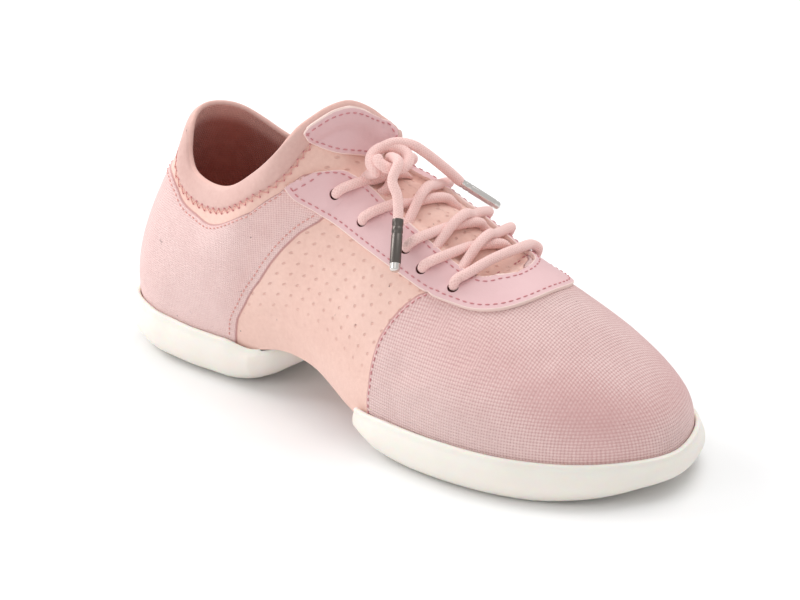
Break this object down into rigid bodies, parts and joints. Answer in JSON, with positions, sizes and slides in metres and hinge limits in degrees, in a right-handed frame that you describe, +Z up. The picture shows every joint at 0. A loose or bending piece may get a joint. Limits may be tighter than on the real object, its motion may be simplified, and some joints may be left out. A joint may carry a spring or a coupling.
{
  "type": "dance sneaker",
  "caption": "Low split-sole dance sneaker with a stretch bootie upper, canvas toe and heel panels, punched lace stay, tied round lace and moulded rubber forefoot and heel soles.",
  "frame": {"origin": "on the heel unit's flat tread, 30 mm in front of the back of the heel, on the shoe's middle line", "axes": "+X from heel to toe, +Y towards the inner side of this right shoe, +Z up from the floor"},
  "size_m": [0.253, 0.0972, 0.1156],
  "materials": {
    "upper_textile": "woven canvas toe and heel, dimpled stretch knit between",
    "synthetic_leather": "smooth satin, stitched edge",
    "insole_foam": "textile covered foam",
    "sole_rubber": "matte moulded rubber",
    "lace_cord": "round braid",
    "gunmetal": "dark satin metal",
    "bright_metal": "bright metal"
  },
  "bodies": {
    "root": {"upper": "upper_textile", "eyestay": "synthetic_leather", "tongue_patch": "synthetic_leather", "insole": "insole_foam", "outsole_forefoot": "sole_rubber", "outsole_heel": "sole_rubber", "lace_bar": "lace_cord", "lace_cross_1": "lace_cord", "lace_cross_2": "lace_cord", "lace_cross_3": "lace_cord", "lace_cross_4": "lace_cord", "lace_knot": "lace_cord", "lace_end_near": "lace_cord", "lace_end_far": "lace_cord", "aglet_near": "gunmetal", "aglet_far": "bright_metal"}
  },
  "joints": []
}
